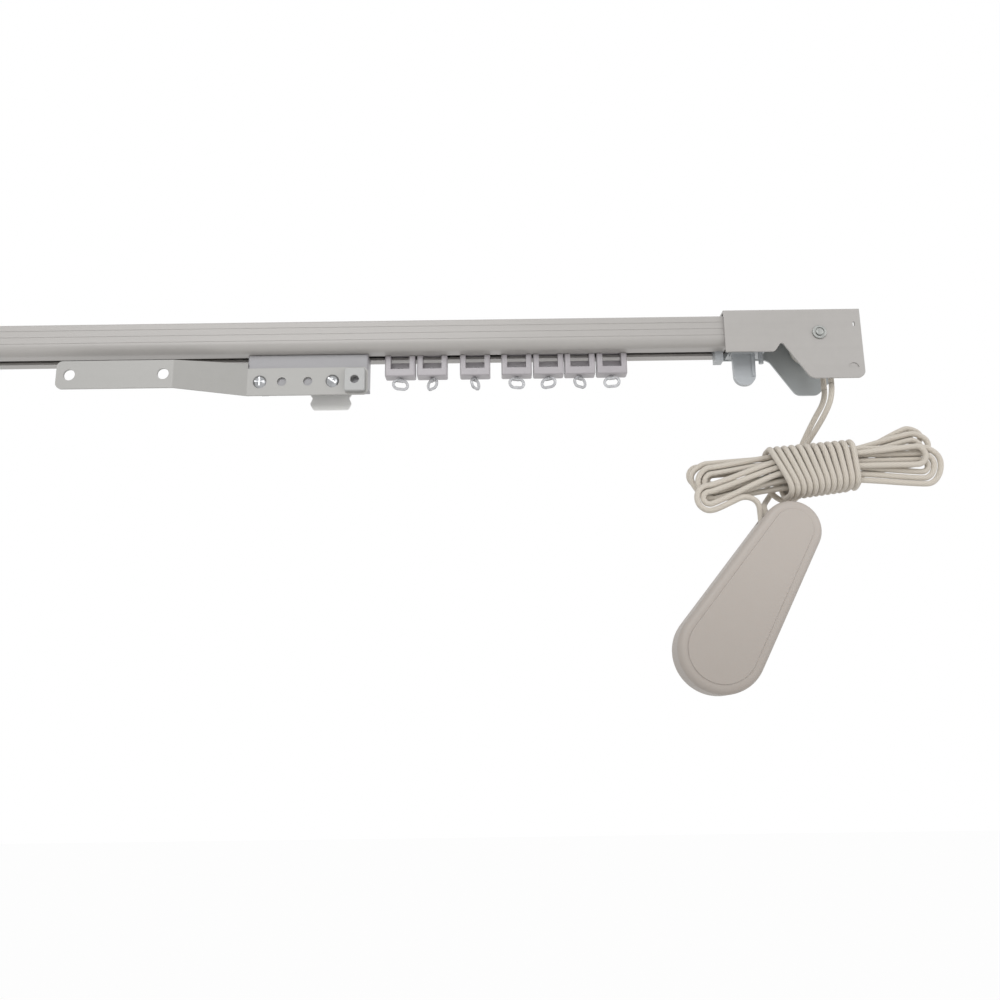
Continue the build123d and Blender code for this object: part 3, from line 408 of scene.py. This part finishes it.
def satin_shell(name, light, dark):
    tree = Tree(name)
    flow = tree.noise(22.0, detail=3.0, roughness=0.6)
    grain = tree.noise(2600.0, detail=2.0)
    # Painted light and shade: the map of the height makes the shell darker towards its lower end and lighter
    # towards its top.
    height = tree.add("ShaderNodeSeparateXYZ", sockets={0: tree.place()}, output=2)
    span = {0: height, 1: WEIGHT_LOW, 2: WEIGHT_HIGH, 3: 0.0, 4: 1.0}
    painted_height_shade = tree.add("ShaderNodeMapRange", sockets=span)
    tree.feed(
        Base_Color=tree.mix((painted_height_shade * 0.6 + flow * 0.3 + grain * 0.1).limited(), shade(dark), shade(light)),
        Roughness=flow * 0.1 + grain * 0.08 + 0.4,
        Normal=tree.bump(grain * 0.7 + flow * 0.3, 0.15, 0.00015),
    )
    tree.shader.inputs["Subsurface Weight"].default_value = 0.08
    tree.shader.inputs["Subsurface Radius"].default_value = (0.002, 0.0015, 0.0012)
    return tree.material


weight_shell = satin_shell("weight_shell", "BEB6AF", "A59D96")
print("shell", weight_shell.name)

# %% [markdown]
# Dressing the CAD nodes
#
# A CAD node keeps its mesh, which is exact, and only gets its finish. The record names a material
# slot for each node, so one table from slot to material dresses most of them. A second table
# names the few nodes whose tone in the photograph differs from the rest of their slot. The lower
# tab's lighter enamel is painted light in the carrier's shade, and the back plate's lighter, bluer
# enamel is painted light and shade inside the housing.

# %% Give every CAD node its finish
finishes = {
    "white_enamel": white_enamel,
    "arm_enamel": arm_enamel,
    "zinc": zinc,
    "chrome_screws": chrome,
    "white_nylon": glider_nylon,
    "grey_nylon": grey_nylon,
    "pulley_nylon": pulley_nylon,
    "clear_eye": clear_eye,
    "weight_shell": weight_shell,
    "slug_steel": slug_steel,
}
special = {
    "drive_back_plate": box_enamel_painted_light_and_shade,
    "lower_tab": tab_enamel_painted_light,
    "carrier_block": carrier_nylon,
    "carrier_boss": boss_nylon,
}
dressed = 0
for part in frame["record"]["subparts"]:
    finish = special.get(part["node"], finishes.get(part["material_slot"]))
    if finish is not None:
        mesh = nodes[part["node"]].data
        mesh.materials.clear()
        mesh.materials.append(finish)
        dressed += 1
print("dressed", dressed, "of", len(nodes))

# %% [markdown]
# The braided cord
#
# A curtain cord is a hollow braid of polyester, 2.8 mm thick. Its line is a NURBS spline, which
# bends as a limp cord does. The tube round it is made in mesh code, because the braid needs a
# coordinate round the cord and one along it: two families of strands wind left and right, and each
# passes over and under the other. The over-and-under goes into the Bump node, and the gaps between
# strands get a painted shade.

# %% A tube along a spline, with the braid's own coordinates
CORD_MM = 2.8
CORD_DIAMETER = CORD_MM * MM
LEAST_STEP = 0.15 * MM
CORD_SIDES = 14
STRANDS_ROUND = 8
BRAID_STEP = 2.4 * MM


def spline_points(name, route):
    """Points along a NURBS spline through its route in metres, without those that nearly coincide."""
    curve = bpy.data.curves.new(name, "CURVE")
    curve.dimensions = "3D"
    spline = curve.splines.new("NURBS")
    spline.points.add(len(route) - 1)
    for point, place in zip(spline.points, route):
        point.co = (*place, 1.0)
    spline.order_u = 3
    spline.use_endpoint_u = True
    spline.resolution_u = 10
    line = bpy.data.objects.new(name, curve)
    scene.collection.objects.link(line)
    bpy.context.view_layer.update()
    mesh = bpy.data.meshes.new_from_object(line)
    points = [vertex.co.copy() for vertex in mesh.vertices]
    bpy.data.objects.remove(line)
    bpy.data.meshes.remove(mesh)
    kept = [points[0]]
    for point in points[1:]:
        if (point - kept[-1]).length > LEAST_STEP:
            kept.append(point)
    return kept


def braided_tube(name, points, diameter=CORD_DIAMETER):
    """A closed tube of quads that follows the points, with UVs round it and along it."""
    tangents = [(b - a).normalized() for a, b in zip(points, points[1:])]
    tangents.append(tangents[-1])
    side = tangents[0].orthogonal().normalized()
    rows, lengths, run = [], [], 0.0
    for index, point in enumerate(points):
        if index:
            run += (point - points[index - 1]).length
            side = (side - tangents[index] * side.dot(tangents[index])).normalized()
        across = tangents[index].cross(side)
        rows.append((point, side.copy(), across))
        lengths.append(run)
    radius = diameter / 2
    turns = [2 * math.pi * j / CORD_SIDES for j in range(CORD_SIDES)]
    verts = [p + s * (radius * math.cos(t)) + a * (radius * math.sin(t)) for p, s, a in rows for t in turns]
    faces, uvs = [], []
    for i in range(len(rows) - 1):
        here, ahead = i * CORD_SIDES, (i + 1) * CORD_SIDES
        for j in range(CORD_SIDES):
            k = (j + 1) % CORD_SIDES
            faces.append((here + j, here + k, ahead + k, ahead + j))
            low, high = lengths[i] / BRAID_STEP, lengths[i + 1] / BRAID_STEP
            u0, u1 = j / CORD_SIDES, (j + 1) / CORD_SIDES
            uvs += [(u0, low), (u1, low), (u1, high), (u0, high)]
    last = (len(rows) - 1) * CORD_SIDES
    caps = [tuple(range(CORD_SIDES - 1, -1, -1)), tuple(range(last, last + CORD_SIDES))]
    for cap in caps:
        faces.append(cap)
        uvs += [(j / CORD_SIDES, 0.0) for j in range(CORD_SIDES)]
    mesh = bpy.data.meshes.new(name)
    mesh.from_pydata([tuple(v) for v in verts], [], faces)
    layer = mesh.uv_layers.new(name="braid")
    layer.data.foreach_set("uv", [value for uv in uvs for value in uv])
    mesh.shade_smooth()
    tube = bpy.data.objects.new(name, mesh)
    scene.collection.objects.link(tube)
    return tube, run


# %% [markdown]
# The braid's pattern
#
# The two slanted coordinates count the strands of each family. Their whole parts say which family
# lies on top at a crossing, and their fractions, through a sine, give each strand its round back.

# %% The braid's shader
def braid(name, light, dark, gap):
    tree = Tree(name)
    uv = tree.add("ShaderNodeUVMap", {"uv_map": "braid"})
    split = tree.nodes.new("ShaderNodeSeparateXYZ")
    tree.links.new(uv.socket, split.inputs[0])
    around = Val(tree, split.outputs["X"]) * float(STRANDS_ROUND)
    along = Val(tree, split.outputs["Y"])
    left, right = around + along, around - along
    parity = ((left.math("FLOOR") + right.math("FLOOR")) * 0.5).math("FRACT") * 2.0
    ridge_left = (left.math("FRACT") * math.pi).math("SINE")
    ridge_right = (right.math("FRACT") * math.pi).math("SINE")
    height = ridge_left * parity + ridge_right * (1.0 - parity)
    fibre = tree.noise(5200.0, detail=2.0)
    soil = tree.noise(45.0, detail=3.0)
    cloth = tree.mix((soil * 0.7 + fibre * 0.3).limited(), shade(dark), shade(light))
    # Painted shade: where a strand's back falls away into a gap, the colour darkens to the gap tone.
    tree.feed(
        Base_Color=tree.mix((height * 1.6).limited(), shade(gap), cloth),
        Roughness=fibre * 0.15 + 0.72,
        Normal=tree.bump(height * 0.85 + fibre * 0.15, 0.7, 0.00018),
    )
    tree.shader.inputs["Sheen Weight"].default_value = 0.25
    tree.shader.inputs["Sheen Roughness"].default_value = 0.5
    return tree.material


# The third colour is the painted shade in the gaps between strands.
cord_braid = braid("cord_braid", "DDD6CB", "D1C9BD", "BBB2A5")
print("cord finish", cord_braid.name)

# %% [markdown]
# Where the cord goes
#
# The track's cord is one loop. It comes out of the housing over two pulleys as two falls. The
# front fall carries all the spare length: it goes down behind the hank, winds round its waist,
# makes the hank's loops, and ends in the cord weight. The rear fall goes straight to the weight.
# The hank leans by 4.9 degrees, so its points are written in its own frame: u along it, v across
# it and w up.

# %% The hank's frame and its loops
HANK_X, HANK_Z = 273.7, -76.3
HANK_TILT = math.radians(4.9)
LAYER_LOOPS = [2, 3, 3, 2]
STRAND_PITCH = 3.3
FOLD_RADIUS, FOLD_PITCH, WAIST_PITCH = 3.1, 3.15, 3.15
HANK_REACH = 64.3
RISE_RIGHT = [11.0, 4.2, -4.0, -0.8]
RISE_LEFT = [1.7, -1.0, -4.0, -10.5]
DRAW_RIGHT = [1.7, 1.5, 0.0, 3.5]
DRAW_LEFT = [-3.6, 1.8, 2.0, -2.0]
LEAN_RIGHT = [1.5, 0.8, 0.3, 0.0]
LEAN_LEFT = [0.0, 0.8, 0.0, 0.0]
WAIST_HALF, FOLD_STRAIGHT = 20.5, 1.8
SHOULDER = 0.42
CORE_HALF = 14.0
NESTED_DRAW = 0.6
LOOSE, TIP_PLAY = 0.2, 0.12
SEED = 7
START_U, END_U = 31.0, -44.5
rng = random.Random(SEED)


def from_hank(u, v, w):
    cos, sin = math.cos(HANK_TILT), math.sin(HANK_TILT)
    return (HANK_X + u * cos - w * sin, v, HANK_Z + u * sin + w * cos)


def run_height(k, top):
    return FOLD_RADIUS + (k + (-0.25 if top else 0.25)) * FOLD_PITCH


FOLD_U = HANK_REACH - CORD_MM / 2 - run_height(2, False)


def layer_y(layer):
    return (1.5 - layer) * STRAND_PITCH


def fold_list():
    """Folds as the cord makes them: side, layer, bottom loop and top loop."""
    folds = []
    for layer, loops in enumerate(LAYER_LOOPS):
        if layer % 2 == 0:
            for k in range(loops - 1, -1, -1):
                folds.append((1, layer, k, k))
                if k > 0:
                    folds.append((-1, layer, k - 1, k))
        else:
            for k in range(loops):
                folds.append((-1, layer, k, k))
                if k < loops - 1:
                    folds.append((1, layer, k, k + 1))
    return folds


def lean_of(fold):
    return (LEAN_RIGHT if fold[0] > 0 else LEAN_LEFT)[fold[1]]


def fold_end(fold, top):
    side, layer, low, high = fold
    draw = (DRAW_RIGHT if side > 0 else DRAW_LEFT)[layer]
    rise = (RISE_RIGHT if side > 0 else RISE_LEFT)[layer]
    height = run_height(high, True) if top else -run_height(low, False)
    nested = LAYER_LOOPS[layer] - 1 - high
    back = nested * NESTED_DRAW * lean_of(fold)
    rise *= 1 - back / (FOLD_U - FOLD_STRAIGHT - WAIST_HALF)
    return side * (FOLD_U - draw - back), layer_y(layer), height + rise


def waist_height(fold, top):
    side, layer, low, high = fold
    return (high + 0.25) * WAIST_PITCH if top else -(low + 0.75) * WAIST_PITCH


def slope(fold, top):
    """The two ends of a run's slope: where its straight bit by the fold ends, and the waist."""
    u, v, w = fold_end(fold, top)
    side = fold[0]
    return (u - side * FOLD_STRAIGHT, v, w), (side * WAIST_HALF, v, waist_height(fold, top))


def on_slope(fold, top, u):
    (u0, v, w0), (u1, _, w1) = slope(fold, top)
    return u, v, w0 + (w1 - w0) * (u - u0) / (u1 - u0)


def loose(point, amount):
    """A point moved a little at random, as no laid loop is exact."""
    return tuple(c + rng.uniform(-amount, amount) for c in point)


folds = fold_list()


def hank_route():
    route = [on_slope(folds[0], False, START_U)]
    for fold, after in zip(folds, folds[1:] + [None]):
        side, top = fold[0], fold[0] > 0
        u, v, w_in = fold_end(fold, not top)
        w_out = fold_end(fold, top)[2]
        half, middle = (w_out - w_in) / 2, (w_out + w_in) / 2
        shoulder = side * abs(half) * SHOULDER
        tip = side * (abs(half) + rng.uniform(-TIP_PLAY, TIP_PLAY))
        lean = lean_of(fold) * (abs(half) - FOLD_RADIUS) / FOLD_PITCH
        route += [loose(slope(fold, not top)[0], LOOSE), (u + shoulder, v, w_in)]
        route.append((u + tip - lean, v, middle - half * SHOULDER))
        route.append((u + tip + lean, v, middle + half * SHOULDER))
        start, waist = slope(fold, top)
        route += [(u + shoulder, v, w_out), loose(start, LOOSE)]
        if after is None:
            route.append(on_slope(fold, top, END_U))
            break
        next_waist = slope(after, top)[1]
        route += [waist, (side * CORE_HALF, waist[1], waist[2])]
        route += [(-side * CORE_HALF, next_waist[1], next_waist[2]), next_waist]
    return [from_hank(*p) for p in route]


print("folds", len(folds), "hank points", len(hank_route()))

# %% [markdown]
# The winding round the waist
#
# Twelve turns hold the loops together. The first crosses the front on a slant, from its upper left
# to its lower right, and the slant fades towards the right end. Each one comes back up behind.
# Twelve points make a turn: one on each side and two at each corner, so that the cord rounds the
# corners of the bundle.

# %% The winding's points
WAIST_TURNS = 12
TOP_START, TOP_PITCH = -21.5, 3.6
LOW_START, LOW_PITCH = -14.8, 2.98
SAG = 1.5
WRAP_SLACK = 0.5
WRAP_V = 1.5 * STRAND_PITCH + CORD_MM + WRAP_SLACK
WAIST_CENTRE = -WAIST_PITCH / 4
WRAP_HIGH = 2.5 * WAIST_PITCH + CORD_MM + WRAP_SLACK + WAIST_CENTRE
CLEARANCE = 0.4
WRAP_START_W = WRAP_HIGH - 5.0 - CORD_MM - CLEARANCE
CORNER = 3.4


def wrap_route():
    low_w = 2 * WAIST_CENTRE - WRAP_HIGH
    route = []
    for turn in range(WAIST_TURNS):
        top = TOP_START + turn * TOP_PITCH
        low = LOW_START + turn * LOW_PITCH
        sag = SAG * (1 - turn / (WAIST_TURNS - 1))
        v, high, foot = WRAP_V, WRAP_HIGH, low_w - sag
        if turn:
            route.append(((low - LOW_PITCH + top) / 2, v, WAIST_CENTRE))
        route += [(top, v, high - CORNER), (top, v - CORNER, high), (top, 0.0, high)]
        route += [(top, CORNER - v, high), (top, -v, high - CORNER)]
        route += [((top + low) / 2, -v, WAIST_CENTRE), (low, -v, foot + CORNER), (low, CORNER - v, foot)]
        if turn < WAIST_TURNS - 1:
            route += [(low, 0.0, foot), (low, v - CORNER, foot), (low, v, foot + CORNER)]
    route += [(low + 0.2, layer_y(0) - CORD_MM, low_w), (low + 3.0, layer_y(0), low_w + 0.8)]
    route.append(on_slope(folds[0], False, START_U - 5.0))
    return [from_hank(*p) for p in route]


print("winding points", len(wrap_route()))

# %% [markdown]
# The falls and tails
#
# The front fall bends back behind the hank, turns under in a U and rises into the winding. The
# tail leaves the hank's front layer and drops into the weight's mouth, where the rear fall joins
# it. The draw cord itself runs inside the rail, over the pulleys and round the return pulley.

# %% Free routes
FALL_X, EXIT_Z = 284.5, -34.2
CORD_Y = 5.5
WEIGHT_Y, JOIN_Z = -1.5, -107.5
ROLLER_X, ROLLER_Z = 246.76, -125.88
SPREAD = 1.6


def fall_a_route():
    u0 = TOP_START
    behind = WRAP_V + CORD_MM + CLEARANCE
    place = -0.2
    last = WRAP_START_W - 4.0
    down = [(FALL_X, -CORD_Y, EXIT_Z), (FALL_X, -CORD_Y, EXIT_Z - 6.0), (FALL_X - 2.6, -2.0, EXIT_Z - 14.0)]
    down.append((FALL_X - 7.6, 5.5, EXIT_Z - 23.0))
    back = [(place, behind, 12.0), (place - 1.5, behind, -4.5), (place - 7.5, behind, -13.5)]
    back += [(u0 + 6.5, behind, -13.5), (u0, behind, -6.5), (u0, WRAP_V, last), (u0, WRAP_V, WRAP_START_W)]
    return down + [from_hank(*p) for p in back]


def tail_route():
    ahead = from_hank(*on_slope(folds[-1], False, END_U + 7.0))
    v = layer_y(3)
    left = ROLLER_X - SPREAD
    return [
        ahead,
        (left - 1.2, v + 0.3, ahead[2] - 2.9),
        (left, WEIGHT_Y, JOIN_Z + 6.0),
        (left, WEIGHT_Y, JOIN_Z),
    ]


def fall_b_route():
    right = ROLLER_X + SPREAD
    return [
        (FALL_X, CORD_Y, EXIT_Z),
        (FALL_X, CORD_Y, EXIT_Z - 5.0),
        (FALL_X - 5.1, 9.0, EXIT_Z - 13.8),
        (274.4, 14.6, -58.5),
        (270.0, 16.6, -68.5),
        (260.5, 16.6, -80.0),
        (252.8, 16.2, -90.2),
        (right + 0.2, 4.6, -94.8),
        (right, WEIGHT_Y, -101.0),
        (right, WEIGHT_Y, JOIN_Z),
    ]


print("fall points", len(fall_a_route()), len(fall_b_route()), "tail points", len(tail_route()))

# %% [markdown]
# Laying and measuring
#
# A wound cord may touch itself but not pass through itself. A KD tree finds the points near each
# point of the line, and those that are further along it than a bend's length count as another
# turn. Its diameter taken off the shortest such distance is the least gap.

# %% Lay a cord, and measure its least gap
def least_gap(points):
    places = KDTree(len(points))
    along, run = [], 0.0
    for index, point in enumerate(points):
        run += (point - points[index - 1]).length if index else 0.0
        along.append(run)
        places.insert(point, index)
    places.balance()
    nearest = 2 * CORD_DIAMETER
    for index, point in enumerate(points):
        for _, other, distance in places.find_range(point, nearest):
            if abs(along[other] - along[index]) > 4 * CORD_DIAMETER:
                nearest = min(nearest, distance)
    return nearest - CORD_DIAMETER


def lay_cord(name, route_mm, *replaced):
    points = spline_points(name, [tuple(c * MM for c in p) for p in route_mm])
    tube, length = braided_tube(name, points)
    tube.data.materials.append(cord_braid)
    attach(tube, "track")
    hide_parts(*replaced)
    print(name, "length", round(length, 4), "points", len(points))
    return tube, points


spare_points = fall_a_route() + wrap_route() + hank_route() + tail_route()
spare_cord, spare_path = lay_cord(
    "spare_cord", spare_points, "cord_a_drop", "hank_wrap", "hank_loops", "cord_a_tail"
)
print("least gap of the spare cord to itself, mm", round(least_gap(spare_path) / MM, 2))
rear_fall, rear_path = lay_cord("rear_fall", fall_b_route(), "cord_b")

# %% [markdown]
# The hidden runs
#
# Two more stretches of the same cord show only from behind or not at all. One runs along the rail,
# over both drive pulleys and round the return pulley. The other goes round the weight's roller.

# %% The draw cord inside the rail, and its end round the weight's roller
DRIVE_X, DRIVE_Z, DRIVE_R = 278.0, -10.3, 6.5
CORD_Z, RETURN_X = -3.8, -262.0
ROLLER_BEND = 5.0


def draw_route():
    front = [(FALL_X, -CORD_Y, EXIT_Z), (FALL_X, -CORD_Y, DRIVE_Z - DRIVE_R), (FALL_X, -CORD_Y, CORD_Z)]
    front += [(DRIVE_X - DRIVE_R, -CORD_Y, CORD_Z), (RETURN_X + CORD_Y, -CORD_Y, CORD_Z)]
    turn = [(RETURN_X - CORD_Y, -CORD_Y, CORD_Z), (RETURN_X - CORD_Y, 0.0, CORD_Z)]
    return front + turn + [(x, -y, z) for x, y, z in [turn[0]] + front[::-1]]


def roller_route():
    r = ROLLER_BEND
    return [
        (ROLLER_X - SPREAD, WEIGHT_Y, JOIN_Z),
        (ROLLER_X - SPREAD, WEIGHT_Y, JOIN_Z - 4.0),
        (ROLLER_X - r, WEIGHT_Y, ROLLER_Z + r),
        (ROLLER_X - r, WEIGHT_Y, ROLLER_Z - r),
        (ROLLER_X, WEIGHT_Y, ROLLER_Z - r),
        (ROLLER_X + r, WEIGHT_Y, ROLLER_Z - r),
        (ROLLER_X + r, WEIGHT_Y, ROLLER_Z + r),
        (ROLLER_X + SPREAD, WEIGHT_Y, JOIN_Z - 4.0),
        (ROLLER_X + SPREAD, WEIGHT_Y, JOIN_Z),
    ]


lay_cord("draw_cord_run", draw_route(), "draw_cord")
lay_cord("roller_cord", roller_route(), "cord_in_weight")
